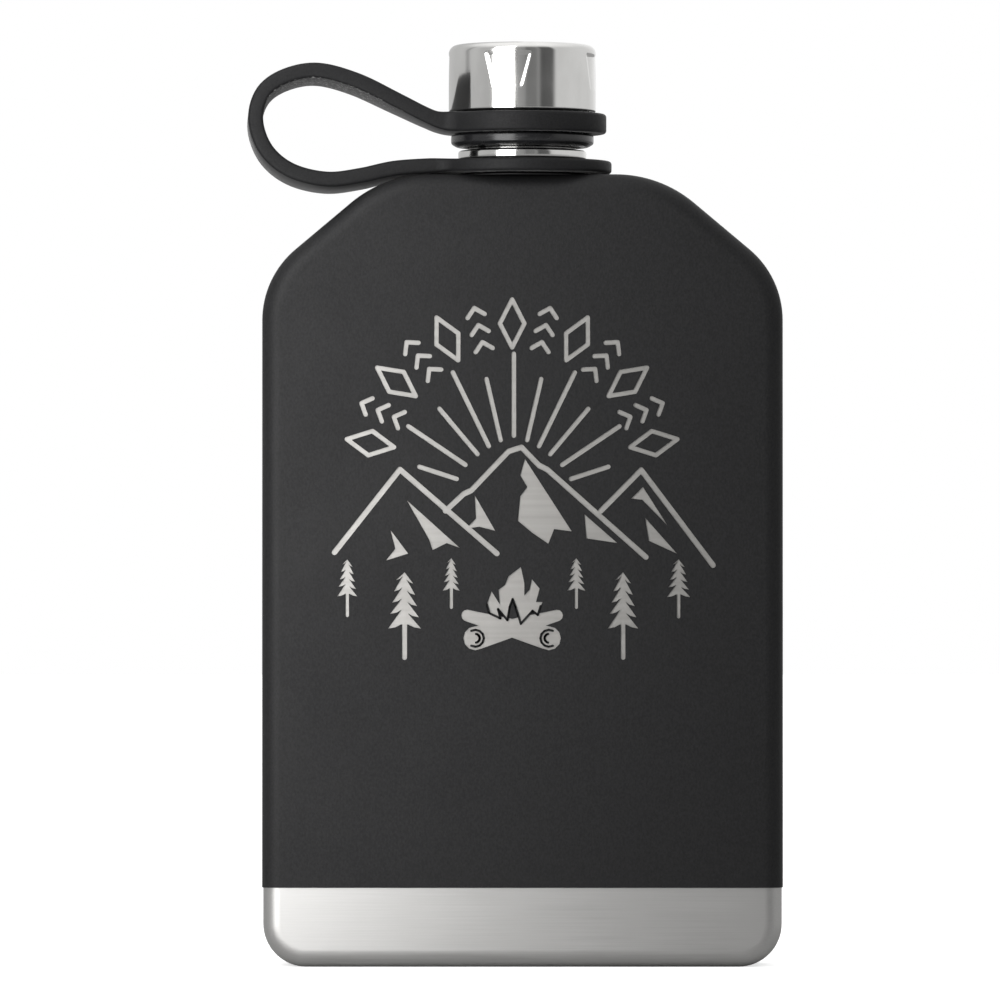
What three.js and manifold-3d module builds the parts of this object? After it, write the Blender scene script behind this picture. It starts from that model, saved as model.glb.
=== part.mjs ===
// A stainless-steel hip flask: a body of two pressed halves under a powder coat, a threaded
// neck, a screw cap with a plastic core, and a silicone strap that ties the cap to the neck.
// Millimetres, +Z up. The origin is the middle of the base, and the front face looks to -Y.
import * as THREE from "three";
import { mergeVertices } from "three/addons/utils/BufferGeometryUtils.js";
import { ParametricGeometry } from "three/addons/geometries/ParametricGeometry.js";
import Module from "manifold-3d";

// Body: the outer surface of the coat
const BODY_WIDTH = 89.3;
const BODY_DEPTH = 24;
const BODY_HEIGHT = 135.9;
const EDGE_RADIUS = 3; // front and back edges
const BASE_RADIUS = 7.6; // bottom corners
const SHOULDER_RADIUS = 15.9; // where a side turns into its shoulder
const TOP_RADIUS = 20.9; // where a shoulder turns into the top
const TOP_FLAT_HALF = 16; // half the flat stretch that carries the neck
const SHOULDER_SLOPE = THREE.MathUtils.degToRad(40);

// Sheet, coat and weld
const WALL = 0.7;
const COAT_THICKNESS = 0.15;
const COAT_GAP = 0.05; // keeps the coat's inner face just off the steel
const COAT_EDGE = 13.6; // the coat stops here, above a bare steel band
const STEEL_INSET = COAT_THICKNESS + COAT_GAP; // from the coat's outer face to the steel
const WELD_PLANE = 2; // the front half is drawn a little deeper than the back one

// Heights from here on are above the body's flat top
const NECK_BORE = 8.5;
const NECK_RADIUS = 9.45;
const NECK_ROOT = 9.2; // the tube between its thread's turns
const NECK_LIP = 17.4;
const NECK_FOOT = -2.2; // the tube ends here, inside the body, below its weld
const NECK_CHAMFER = 0.3; // at the lip, and where the tube steps in to the thread's root
const COLLAR = { radius: 11.05, low: 2.8, high: 4.4, chamfer: 0.4 };
const FIT = 0.3; // between loose pieces

// Thread: one start, right-handed, so that the cap rises as it turns anticlockwise
const LEAD = 3.5;
const THREAD_TURNS = 2;
const THREAD_FADE = 0.12; // share of the thread over which each end fades out
const NECK_THREAD = { start: 8.3, base: 9, crest: 9.95, baseWidth: 2.6, crestWidth: 1.2 };
const CAP_THREAD = { start: 6.55, base: 10.5, crest: 9.5, baseWidth: 2.2, crestWidth: 1.1 };

// Cap
const CAP = { radius: 12.7, low: 11.1, high: 22.65, edge: 1.8, wall: 0.6 };
const DIMPLE = { count: 4, turn: -11.7, low: 15.3, high: 21.5, shallow: 0.2, deep: 0.66 };
const CORE = { bore: 10.25, groove: 11, radius: 11.8, low: 5, seat: 18.95, high: 21.7 };
const SKIRT = { radius: 12.3, lip: 11.3, lipTop: 5.6, high: 7.1, chamfer: 0.3 };
const CORE_STEP = 10.95; // underside of the core's wide part, over the strap's ring
const GASKET = { radius: 9.9, low: 17.7, high: 18.9 };

// Strap: a band between two rings
const NECK_RING = { inner: 9.75, outer: 15.4, low: 0.45, high: 2.6 };
const CAP_RING = { inner: 11.3, outer: 14.5, low: 7.35, high: 10.75 };
const STRAP_THICKNESS = 2.6;
const STRAP_WIDTH = 16;
const STRAP_SWING = 2.2; // degrees that the strap has swung round the neck, to the front
const STRAP_EDGE = 0.6;
const STRAP_CUT = -36; // the band is cut here, so that its bend can move between its two runs
const STRAP_MIDDLE = 5; // a height between the two runs
const STRAP_ROUTE = [
  [-9, 1.75], [-15, 1.7], [-21.8, 0.95], [-28, -0.45], [-34, -1.1], [-40.1, 0.4], [-44.3, 3.9],
  [-46.1, 9], [-44.7, 14], [-41, 17], [-35.6, 18.2], [-29, 16.5], [-21.8, 13.1], [-15.5, 10.2],
  [-12, 9.1],
];

// Fineness
const AROUND = 32; // facets round a turned piece
const ARC_STEPS = 4; // half the facets of one corner of the body's outline
const ROUND_STEPS = 3; // facets across a rounded edge
const STRAP_STEPS = 40;
const MERGE = 1e-4;
const FAR = 200; // larger than the flask, for cutting blocks
const PAST = 1; // how far a cutting solid runs past the face it cuts

const wasm = await Module();
wasm.setup();

// ---- solids ----

function toSolid(geometry) {
  const bare = geometry.clone();
  bare.deleteAttribute("normal");
  bare.deleteAttribute("uv");
  const merged = mergeVertices(bare, MERGE);
  const index = merged.index.array;
  const triangles = [];
  for (let i = 0; i < index.length; i += 3) {
    const [a, b, c] = index.slice(i, i + 3);
    if (a !== b && b !== c && c !== a) triangles.push(a, b, c);
  }
  const mesh = new wasm.Mesh({
    numProp: 3,
    vertProperties: merged.attributes.position.array,
    triVerts: new Uint32Array(triangles),
  });
  return new wasm.Manifold(mesh);
}

function toGeometry(solid) {
  const mesh = solid.getMesh();
  const geometry = new THREE.BufferGeometry();
  geometry.setAttribute("position", new THREE.BufferAttribute(mesh.vertProperties, 3));
  geometry.setIndex(new THREE.BufferAttribute(mesh.triVerts, 1));
  const faceted = geometry.toNonIndexed();
  faceted.computeVertexNormals();
  return faceted;
}

function block(low, high) {
  const size = high.map((value, axis) => value - low[axis]);
  const centre = high.map((value, axis) => (value + low[axis]) / 2);
  return toSolid(new THREE.BoxGeometry(...size).translate(...centre));
}

// A profile of [radius, height] pairs, anticlockwise, turned about Z
function turned(profile) {
  const points = profile.map(([radius, height]) => new THREE.Vector2(radius, height));
  return toSolid(new THREE.LatheGeometry(points, AROUND).rotateX(Math.PI / 2));
}

function rod(radius, low, high) {
  return turned([[0, low], [radius, low], [radius, high], [0, high]]);
}

function ring({ inner, outer, low, high }, chamfer) {
  return turned([
    [inner, low], [outer - chamfer, low], [outer, low + chamfer],
    [outer, high - chamfer], [outer - chamfer, high], [inner, high], [inner, low],
  ]);
}

// Points of a quarter round from the side of a cap, up and in to its top
function shoulderRound(radius, top, edge) {
  const points = [];
  for (let i = 0; i <= ROUND_STEPS; i += 1) {
    const angle = (Math.PI / 2) * (i / ROUND_STEPS);
    points.push([radius - edge + edge * Math.cos(angle), top - edge + edge * Math.sin(angle)]);
  }
  return points;
}

// ---- body ----

// The front outline, drawn in by inset; all its arcs keep their centres. The steel's own base
// is at height 0, because the coat doesn't reach it.
function bodyOutline(inset) {
  const sideX = BODY_WIDTH / 2;
  const topZ = BODY_HEIGHT - TOP_RADIUS;
  const normal = Math.PI / 2 - SHOULDER_SLOPE; // direction in which a shoulder faces
  const rise = Math.sin(normal);
  const run = Math.cos(normal);
  const shoulderX = sideX - SHOULDER_RADIUS;
  const shoulderZ = topZ + (TOP_RADIUS - SHOULDER_RADIUS - (shoulderX - TOP_FLAT_HALF) * run) / rise;
  const baseX = sideX - BASE_RADIUS;
  const baseZ = BASE_RADIUS - STEEL_INSET;
  const outline = new THREE.Shape();
  outline.absarc(baseX, baseZ, BASE_RADIUS - inset, -Math.PI / 2, 0);
  outline.absarc(shoulderX, shoulderZ, SHOULDER_RADIUS - inset, 0, normal);
  outline.absarc(TOP_FLAT_HALF, topZ, TOP_RADIUS - inset, normal, Math.PI / 2);
  outline.absarc(-TOP_FLAT_HALF, topZ, TOP_RADIUS - inset, Math.PI / 2, Math.PI - normal);
  outline.absarc(-shoulderX, shoulderZ, SHOULDER_RADIUS - inset, Math.PI - normal, Math.PI);
  outline.absarc(-baseX, baseZ, BASE_RADIUS - inset, Math.PI, 1.5 * Math.PI);
  return outline;
}

// The whole body as a solid with rounded front and back edges, drawn in by inset all over
function bodySolid(inset) {
  const edge = EDGE_RADIUS - inset;
  const flat = BODY_DEPTH - 2 * EDGE_RADIUS;
  const geometry = new THREE.ExtrudeGeometry(bodyOutline(inset), {
    depth: flat,
    bevelThickness: edge,
    bevelSize: edge,
    bevelOffset: -edge,
    bevelSegments: ROUND_STEPS,
    curveSegments: ARC_STEPS,
  });
  return toSolid(geometry.rotateX(Math.PI / 2).translate(0, flat / 2, 0));
}

function bodyShells() {
  const hole = rod(NECK_RADIUS + FIT, BODY_HEIGHT / 2, FAR);
  const wall = bodySolid(STEEL_INSET).subtract(bodySolid(STEEL_INSET + WALL)).subtract(hole);
  const behind = block([-FAR, WELD_PLANE, -FAR], [FAR, FAR, FAR]);
  return { front: wall.subtract(behind), back: wall.intersect(behind) };
}

function powderCoat() {
  const above = block([-FAR, -FAR, COAT_EDGE], [FAR, FAR, FAR]);
  const hole = rod(NECK_RADIUS + FIT, BODY_HEIGHT / 2, FAR);
  return bodySolid(0).subtract(bodySolid(COAT_THICKNESS)).intersect(above).subtract(hole);
}

// ---- neck ----

// A helical ridge whose height fades in and out over its first and last parts
function threadRidge({ start, base, crest, baseWidth, crestWidth }) {
  const section = [
    [base, -baseWidth / 2], [crest, -crestWidth / 2], [crest, crestWidth / 2], [base, baseWidth / 2],
  ];
  const surface = (across, along, target) => {
    const turn = 2 * Math.PI * THREAD_TURNS * along;
    const size = Math.min(1, along / THREAD_FADE, (1 - along) / THREAD_FADE);
    const [radius, height] = section[Math.round(across * section.length) % section.length];
    const reach = base + (radius - base) * size;
    const z = start + LEAD * THREAD_TURNS * along + height * size;
    target.set(reach * Math.cos(turn), reach * Math.sin(turn), z);
  };
  const geometry = new ParametricGeometry(surface, section.length, AROUND * THREAD_TURNS);
  if (crest > base) geometry.index.array.reverse();
  return toSolid(geometry);
}

function neck() {
  const { radius, low, high, chamfer } = COLLAR;
  const step = NECK_THREAD.start - LEAD / 2;
  const tube = turned([
    [NECK_BORE, NECK_FOOT], [NECK_RADIUS, NECK_FOOT], [NECK_RADIUS, low], [radius - chamfer, low],
    [radius, low + chamfer], [radius, high - chamfer], [radius - chamfer, high], [NECK_RADIUS, high],
    [NECK_RADIUS, step], [NECK_ROOT, step + NECK_CHAMFER], [NECK_ROOT, NECK_LIP - NECK_CHAMFER],
    [NECK_ROOT - NECK_CHAMFER, NECK_LIP], [NECK_BORE, NECK_LIP], [NECK_BORE, NECK_FOOT],
  ]);
  return tube.add(threadRidge(NECK_THREAD));
}

// ---- cap ----

// Blocks that press the grip dimples in, moved inwards by depth. Each leans in towards the top,
// so that its flat face meets the round side in an outline that narrows downwards.
function dimpleBlocks(depth) {
  const { low, high, shallow, deep } = DIMPLE;
  const outside = CAP.radius + PAST;
  const leaning = new THREE.Shape();
  leaning.moveTo(CAP.radius - shallow - depth, low - depth);
  leaning.lineTo(outside, low - depth);
  leaning.lineTo(outside, high);
  leaning.lineTo(CAP.radius - deep - depth, high);
  const geometry = new THREE.ExtrudeGeometry(leaning, { depth: CAP.radius, bevelEnabled: false });
  geometry.rotateX(Math.PI / 2).translate(0, CAP.radius / 2, 0).rotateZ(-Math.PI / 2);
  const solid = toSolid(geometry);
  const blocks = [];
  for (let i = 0; i < DIMPLE.count; i += 1) {
    blocks.push(solid.rotate([0, 0, DIMPLE.turn + (360 / DIMPLE.count) * i]));
  }
  return blocks;
}

function dimpled(solid, depth) {
  return dimpleBlocks(depth).reduce((rest, piece) => rest.subtract(piece), solid);
}

function capShell() {
  const { radius, low, high, edge, wall } = CAP;
  const outer = turned([[0, low], [radius, low], ...shoulderRound(radius, high, edge), [0, high]]);
  const inside = shoulderRound(radius - wall, high - wall, edge - wall);
  const inner = turned([[0, low - PAST], [radius - wall, low - PAST], ...inside, [0, high - wall]]);
  return dimpled(outer, 0).subtract(dimpled(inner, wall));
}

function capCore() {
  const { bore, groove, radius, low, seat, high } = CORE;
  const { chamfer } = SKIRT;
  const edge = CAP.edge - CAP.wall - FIT;
  const outer = turned([
    [0, low], [SKIRT.lip, low], [SKIRT.radius, SKIRT.lipTop], [SKIRT.radius, SKIRT.high - chamfer],
    [SKIRT.radius - chamfer, SKIRT.high], [groove, SKIRT.high], [groove, CORE_STEP],
    [radius, CORE_STEP], ...shoulderRound(radius, high, edge), [0, high],
  ]);
  const inner = turned([[0, low - PAST], [bore, low - PAST], [bore, seat], [0, seat]]);
  const thread = threadRidge(CAP_THREAD);
  return dimpled(outer, CAP.wall + FIT).subtract(inner).add(thread);
}

// ---- strap ----

// The whole band, as a side outline of even thickness, drawn across the strap's width
function strapBand() {
  const route = new THREE.SplineCurve(STRAP_ROUTE.map(([x, z]) => new THREE.Vector2(x, z)));
  const above = [];
  const below = [];
  for (let i = 0; i <= STRAP_STEPS; i += 1) {
    const point = route.getPointAt(i / STRAP_STEPS);
    const tangent = route.getTangentAt(i / STRAP_STEPS);
    const side = new THREE.Vector2(-tangent.y, tangent.x).multiplyScalar(STRAP_THICKNESS / 2);
    above.push(point.clone().add(side));
    below.unshift(point.clone().sub(side));
  }
  const flat = STRAP_WIDTH - 2 * STRAP_EDGE;
  const geometry = new THREE.ExtrudeGeometry(new THREE.Shape([...above, ...below]), {
    depth: flat,
    bevelThickness: STRAP_EDGE,
    bevelSize: STRAP_EDGE,
    bevelOffset: -STRAP_EDGE,
    bevelSegments: 1,
  });
  return toSolid(geometry.rotateX(Math.PI / 2).translate(0, flat / 2, 0));
}

// The band's lower run with the neck's ring, its bend, and its upper run with the cap's ring
function strapPieces() {
  const band = strapBand();
  const runs = block([STRAP_CUT + FIT / 2, -FAR, -FAR], [FAR, FAR, FAR]);
  const upper = block([-FAR, -FAR, STRAP_MIDDLE], [FAR, FAR, FAR]);
  const bend = band.intersect(block([-FAR, -FAR, -FAR], [STRAP_CUT - FIT / 2, FAR, FAR]));
  const withRing = (run, size) => {
    const inside = rod(size.outer - 2 * STRAP_EDGE, -STRAP_MIDDLE, CAP.high);
    return run.subtract(inside).add(ring(size, STRAP_EDGE));
  };
  const swung = (solid) => solid.rotate([0, 0, STRAP_SWING]);
  return {
    neckEnd: swung(withRing(band.intersect(runs).subtract(upper), NECK_RING)),
    bend: swung(bend),
    capEnd: swung(withRing(band.intersect(runs).intersect(upper), CAP_RING)),
  };
}

// ---- assembly ----

const steel = { color: 0xb4b1ac, roughness: 0.35, metalness: 1 };
const polishedSteel = { color: 0xc9c9c8, roughness: 0.12, metalness: 1 };
const blackCoat = { color: 0x303030, roughness: 0.6, metalness: 0 };
const blackPlastic = { color: 0x141414, roughness: 0.25, metalness: 0 };
const silicone = { color: 0x2c2c2d, roughness: 0.65, metalness: 0 };
const whiteSilicone = { color: 0xe6e4de, roughness: 0.6, metalness: 0 };

function piece(name, solid, look) {
  const mesh = new THREE.Mesh(toGeometry(solid), new THREE.MeshStandardMaterial(look));
  mesh.name = name;
  return mesh;
}

const shells = bodyShells();
const strap = strapPieces();

const body = new THREE.Group();
body.add(
  piece("front_shell", shells.front, steel),
  piece("back_shell", shells.back, steel),
  piece("powder_coat", powderCoat(), blackCoat),
);

const top = new THREE.Group();
top.position.z = BODY_HEIGHT;
top.add(
  piece("neck", neck(), polishedSteel),
  piece("strap_neck_end", strap.neckEnd, silicone),
  piece("strap_bend", strap.bend, silicone),
  piece("strap_cap_end", strap.capEnd, silicone),
);

const cap = new THREE.Group();
cap.add(
  piece("cap_shell", capShell(), polishedSteel),
  piece("cap_core", capCore(), blackPlastic),
  piece("cap_gasket", rod(GASKET.radius, GASKET.low, GASKET.high), whiteSilicone),
);
top.add(cap);

const hipFlask = new THREE.Group();
hipFlask.add(body, top);

export default hipFlask;
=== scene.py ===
"""A hip flask: the finished surfaces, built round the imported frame.

The frame is in metres, +Z up, with the flask's front to -Y. Shapes are worked out in
millimetres and brought to metres as each piece is finished.
"""
import math

import bmesh
import bpy
from mathutils import Matrix, Vector


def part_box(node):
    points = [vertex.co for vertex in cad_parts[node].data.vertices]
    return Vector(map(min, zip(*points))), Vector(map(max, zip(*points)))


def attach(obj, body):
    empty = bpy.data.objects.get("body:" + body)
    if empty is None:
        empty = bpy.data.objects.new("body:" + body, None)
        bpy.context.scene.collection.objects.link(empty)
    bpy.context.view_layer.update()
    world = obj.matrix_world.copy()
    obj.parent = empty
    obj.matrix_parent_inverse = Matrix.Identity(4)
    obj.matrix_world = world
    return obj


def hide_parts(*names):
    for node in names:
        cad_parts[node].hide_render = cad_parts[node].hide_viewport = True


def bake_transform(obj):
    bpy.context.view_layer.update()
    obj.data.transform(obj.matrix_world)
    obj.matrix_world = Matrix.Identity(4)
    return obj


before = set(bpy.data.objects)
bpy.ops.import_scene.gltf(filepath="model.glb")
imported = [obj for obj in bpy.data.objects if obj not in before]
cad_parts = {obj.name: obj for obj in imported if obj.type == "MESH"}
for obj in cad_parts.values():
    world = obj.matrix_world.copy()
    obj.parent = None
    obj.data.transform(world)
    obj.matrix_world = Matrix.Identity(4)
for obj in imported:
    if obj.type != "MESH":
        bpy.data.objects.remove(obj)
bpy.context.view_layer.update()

MM = 0.001
UP = (0, 0, 1)
FULL_TURN = 2 * math.pi


# ---- sizes ----

def in_mm(node):
    """Lowest and highest corners of a CAD node, in millimetres."""
    low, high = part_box(node)
    return low / MM, high / MM


COAT_LOW, COAT_HIGH = in_mm("powder_coat")
_, STEEL_HIGH = in_mm("front_shell")
NECK_LOW, NECK_HIGH = in_mm("neck")
CUP_LOW, CUP_HIGH = in_mm("cap_shell")
CORE_LOW, CORE_HIGH = in_mm("cap_core")
GASKET_LOW, GASKET_HIGH = in_mm("cap_gasket")

TOP = COAT_HIGH.z  # the body's flat top; heights of the neck, cap and strap count from here
AROUND = 192  # steps in a full turn of the spout and cap
CORNER_STEPS = 14  # steps for each millimetre of a turned piece's corner radius
HALF_WIDTH = COAT_HIGH.x
HALF_DEPTH = COAT_HIGH.y
STEEL_INSET = COAT_HIGH.z - STEEL_HIGH.z
COAT_EDGE = COAT_LOW.z
WELD = STEEL_HIGH.y
CURVE_STEPS = 16  # steps in each corner of the body's outline
EDGE_STEPS = 8  # and across its rounded front and back edges
SUPPORT = 0.3  # the flat front and back have a row of faces this wide at their rims

EDGE_RADIUS = 3.0
BASE_RADIUS = 7.6
SHOULDER_RADIUS = 15.9
TOP_RADIUS = 20.9
TOP_FLAT_HALF = 16.0
SHOULDER_SLOPE = math.radians(40)
WALL = 0.7
COAT_THICKNESS = 0.15
NECK_HOLE = 9.75

LEAD = 3.5
THREAD_TURNS = 2
THREAD_STEPS = 96  # in a turn
THREAD_FADE = 0.12  # share of the thread over which each end fades out
THREAD_TIP = 0.02  # what is left of its section at the very ends

STRAP_WIDTH = 16.0
STRAP_THICKNESS = 2.6
STRAP_SWING = math.radians(2.2)
STRAP_EDGE = 0.55
STRAP_FILLET = 4.0  # between a ring and the band
STRAP_STEP = 0.7  # length of each stretch that bends
NECK_RING = (15.4, 9.75)  # radius, and radius of its hole
NECK_RING_THICKNESS = 2.15
CAP_RING = (14.5, 11.3)
CAP_RING_THICKNESS = 3.4
STRAP_ROUTE = [
    (-10, 1.525), (-14.1, 1.6), (-21.8, 0.95), (-28, -0.45), (-34, -1.1), (-40.1, 0.4),
    (-44.3, 3.9), (-46.1, 9), (-44.9, 13.7), (-41.2, 16.5), (-35.6, 17.6), (-29, 15.95),
    (-21.8, 12.6), (-16.8, 10.2), (-14.1, 9.3), (-10, 9.05),
]
STRAP_ROLL = 0.0375  # how far the loop leans, with its back edge lower
ROLL_SPAN = (14, 28)  # distances from the spout over which the lean sets in
TAPER_SPAN = (2, 6.5)  # distances past a ring over which the band takes its own thickness
STRAP_CUT = -36.0  # the bend lies beyond this, and a run on this side of it at each end
DUST_SPAN = (8, 15)  # heights over which the dust on the inner face sets in


# ---- camera, light and floor ----

VIEW_WIDTH = 172.5 * MM  # width of the picture, measured at the flask's middle
VIEW_DISTANCE = 1.55
VIEW_CENTRE_X = -3.86 * MM
VIEW_HEIGHT = 62.8 * MM
AIM_HEIGHT = 80.1 * MM  # the height in the middle of the picture
SENSOR = 36.0
CLIP_NEAR, CLIP_FAR = 0.05, 60

# brightness of the room by bearing, in degrees to the right of the camera as the flask sees it
ROOM_SHADES = [
    (-180, 0.6), (-104, 0.62), (-96, 0.36), (-88, 0.6), (-50, 0.52), (-44, 0.4), (-8, 0.36),
    (3, 0.32), (7, 0.2), (20, 0.22), (25, 0.3), (31, 0.11), (47, 0.13), (56, 0.72), (120, 0.74),
    (180, 0.6),
]
CEILING = 1.2
CEILING_STARTS = 0.5  # upward part of a direction from which the ceiling blends in

KEY_PLACE = (-0.1, -0.16, 0.12)
KEY_TARGET = (-0.1, 0, 0.12)
KEY_SIZE = (0.13, 0.5)
KEY_POWER = 1.0
FLOOR_HALF = 6
BOUNCE_DROP = 0.0003


def make_camera():
    data = bpy.data.cameras.new("camera")
    data.sensor_width = SENSOR
    data.lens = SENSOR * VIEW_DISTANCE / VIEW_WIDTH
    data.clip_start = CLIP_NEAR
    data.clip_end = CLIP_FAR
    camera = bpy.data.objects.new("camera", data)
    camera.location = (VIEW_CENTRE_X, -VIEW_DISTANCE, VIEW_HEIGHT)
    pitch = math.atan((AIM_HEIGHT - VIEW_HEIGHT) / VIEW_DISTANCE)
    camera.rotation_euler = (math.pi / 2 + pitch, 0, 0)
    bpy.context.collection.objects.link(camera)
    bpy.context.scene.camera = camera


def softbox(name, place, target, size, power):
    data = bpy.data.lights.new(name, "AREA")
    data.shape = "RECTANGLE"
    data.size, data.size_y = size
    data.energy = power
    lamp = bpy.data.objects.new(name, data)
    lamp.location = place
    lamp.rotation_euler = (Vector(target) - Vector(place)).to_track_quat("-Z", "Y").to_euler()
    lamp.visible_camera = False
    bpy.context.collection.objects.link(lamp)


def math_node(tree, operation, *values):
    """A math node; each value may be a number or a socket."""
    node = tree.nodes.new("ShaderNodeMath")
    node.operation = operation
    for socket, value in zip(node.inputs, values):
        if isinstance(value, (int, float)):
            socket.default_value = value
        else:
            tree.links.new(value, socket)
    return node.outputs[0]


def studio_world():
    """A white room: lighter overhead, with darker stretches in front where the camera stands."""
    world = bpy.data.worlds.new("studio")
    world.use_nodes = True
    tree = world.node_tree
    nodes, links = tree.nodes, tree.links
    nodes.clear()

    where = nodes.new("ShaderNodeTexCoord")
    parts = nodes.new("ShaderNodeSeparateXYZ")
    links.new(where.outputs["Generated"], parts.inputs[0])
    behind = math_node(tree, "MULTIPLY", parts.outputs["Y"], -1)
    bearing = math_node(tree, "ARCTAN2", parts.outputs["X"], behind)
    turn = math_node(tree, "MULTIPLY_ADD", bearing, 1 / FULL_TURN, 0.5)
    bands = nodes.new("ShaderNodeValToRGB")
    bands.color_ramp.interpolation = "EASE"
    ramp = bands.color_ramp.elements
    ends = {0: ramp[0], len(ROOM_SHADES) - 1: ramp[1]}
    for number, (degrees, shade) in enumerate(ROOM_SHADES):
        stop = ends.get(number) or ramp.new(degrees / 360 + 0.5)
        stop.color = (shade, shade, shade, 1)
    links.new(turn, bands.inputs[0])
    upward = nodes.new("ShaderNodeMapRange")
    upward.interpolation_type = "SMOOTHSTEP"
    upward.inputs["From Min"].default_value = CEILING_STARTS
    upward.inputs["From Max"].default_value = 1.0
    links.new(parts.outputs["Z"], upward.inputs["Value"])
    blend = nodes.new("ShaderNodeMix")
    blend.data_type = "RGBA"
    links.new(upward.outputs[0], blend.inputs["Factor"])
    links.new(bands.outputs[0], blend.inputs[6])
    blend.inputs[7].default_value = (CEILING, CEILING, CEILING, 1)
    surround = nodes.new("ShaderNodeBackground")
    links.new(blend.outputs[2], surround.inputs["Color"])
    backdrop = nodes.new("ShaderNodeBackground")
    backdrop.inputs["Color"].default_value = (1, 1, 1, 1)
    seen = nodes.new("ShaderNodeLightPath")
    either = nodes.new("ShaderNodeMixShader")
    links.new(seen.outputs["Is Camera Ray"], either.inputs[0])
    links.new(surround.outputs[0], either.inputs[1])
    links.new(backdrop.outputs[0], either.inputs[2])
    output = nodes.new("ShaderNodeOutputWorld")
    links.new(either.outputs[0], output.inputs["Surface"])
    bpy.context.scene.world = world


def make_studio():
    """The room, a key light at the front left, and a white floor with a darker one just under it.

    The white floor is only seen, and the darker one only throws light back, so that the picture
    has a pale floor without washing out the black coat.
    """
    studio_world()
    softbox("key_left", KEY_PLACE, KEY_TARGET, KEY_SIZE, KEY_POWER)
    ground = floor("floor", pale_floor("white_floor", 0.9, 0.6), 0)
    ground.visible_diffuse = ground.visible_glossy = ground.visible_shadow = False
    bounce = floor("floor_bounce", pale_floor("floor_bounce", 0.42, 0), -BOUNCE_DROP)
    bounce.visible_camera = False
    bpy.context.scene.view_settings.view_transform = "Standard"


def floor(name, material, height):
    bm = bmesh.new()
    bmesh.ops.create_grid(
        bm, x_segments=1, y_segments=1, size=FLOOR_HALF,
        matrix=Matrix.Translation((0, 0, height)),
    )
    thing = temporary(bm, name)
    thing.data.materials.append(material)
    return thing


# ---- materials ----

class Finish:
    """A Principled material, with short calls for its procedural detail."""

    def __init__(self, name, colour, metallic=0.0, roughness=0.5, specular=0.5):
        self.material = bpy.data.materials.new(name)
        self.material.use_nodes = True
        self.nodes = self.material.node_tree.nodes
        self.links = self.material.node_tree.links
        self.shader = self.nodes["Principled BSDF"]
        self.shader.inputs["Base Color"].default_value = (*colour, 1)
        self.shader.inputs["Metallic"].default_value = metallic
        self.shader.inputs["Roughness"].default_value = roughness
        self.shader.inputs["Specular IOR Level"].default_value = specular
        self.where = self.nodes.new("ShaderNodeTexCoord").outputs["Object"]
        self.last_bump = None

    def noise(self, scale, detail=3, roughness=0.5, distortion=0.0):
        """Noise over object space; scale is in cycles per millimetre along each axis."""
        mapping = self.nodes.new("ShaderNodeMapping")
        mapping.inputs["Scale"].default_value = [value / MM for value in scale]
        self.links.new(self.where, mapping.inputs["Vector"])
        texture = self.nodes.new("ShaderNodeTexNoise")
        texture.inputs["Scale"].default_value = 1
        texture.inputs["Detail"].default_value = detail
        texture.inputs["Roughness"].default_value = roughness
        texture.inputs["Distortion"].default_value = distortion
        self.links.new(mapping.outputs[0], texture.inputs["Vector"])
        return texture.outputs["Fac"]

    def spread(self, value, low, high, start=0.3, end=0.7):
        """Map a value from start..end onto low..high."""
        node = self.nodes.new("ShaderNodeMapRange")
        node.inputs["From Min"].default_value = start
        node.inputs["From Max"].default_value = end
        node.inputs["To Min"].default_value = low
        node.inputs["To Max"].default_value = high
        self.links.new(value, node.inputs["Value"])
        return node.outputs[0]

    def height(self, axis="Z"):
        node = self.nodes.new("ShaderNodeSeparateXYZ")
        self.links.new(self.where, node.inputs[0])
        return node.outputs[axis]

    def attribute(self, name):
        node = self.nodes.new("ShaderNodeAttribute")
        node.attribute_name = name
        return node.outputs["Fac"]

    def math(self, operation, first, second):
        return math_node(self.material.node_tree, operation, first, second)

    def mix(self, share, first, second):
        """Blend two colours by share; each may be a plain colour or a socket."""
        node = self.nodes.new("ShaderNodeMix")
        node.data_type = "RGBA"
        self.links.new(share, node.inputs["Factor"])
        for socket, value in zip((node.inputs[6], node.inputs[7]), (first, second)):
            if isinstance(value, tuple):
                socket.default_value = (*value, 1)
            else:
                self.links.new(value, socket)
        return node.outputs[2]

    def paint(self, colour):
        self.links.new(colour, self.shader.inputs["Base Color"])

    def gloss(self, value):
        self.links.new(value, self.shader.inputs["Roughness"])

    def bump(self, value, depth):
        """Add relief; depth is in millimetres."""
        node = self.nodes.new("ShaderNodeBump")
        node.inputs["Strength"].default_value = 1
        node.inputs["Distance"].default_value = depth * MM
        self.links.new(value, node.inputs["Height"])
        if self.last_bump:
            self.links.new(self.last_bump, node.inputs["Normal"])
        self.last_bump = node.outputs[0]
        self.links.new(self.last_bump, self.shader.inputs["Normal"])


def pale_floor(name, shade, glow):
    """A plain floor, with some glow of its own where it has to stay white."""
    finish = Finish(name, (shade, shade, shade), roughness=0.8, specular=0.2)
    finish.shader.inputs["Emission Color"].default_value = (1, 1, 1, 1)
    finish.shader.inputs["Emission Strength"].default_value = glow
    return finish.material


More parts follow.
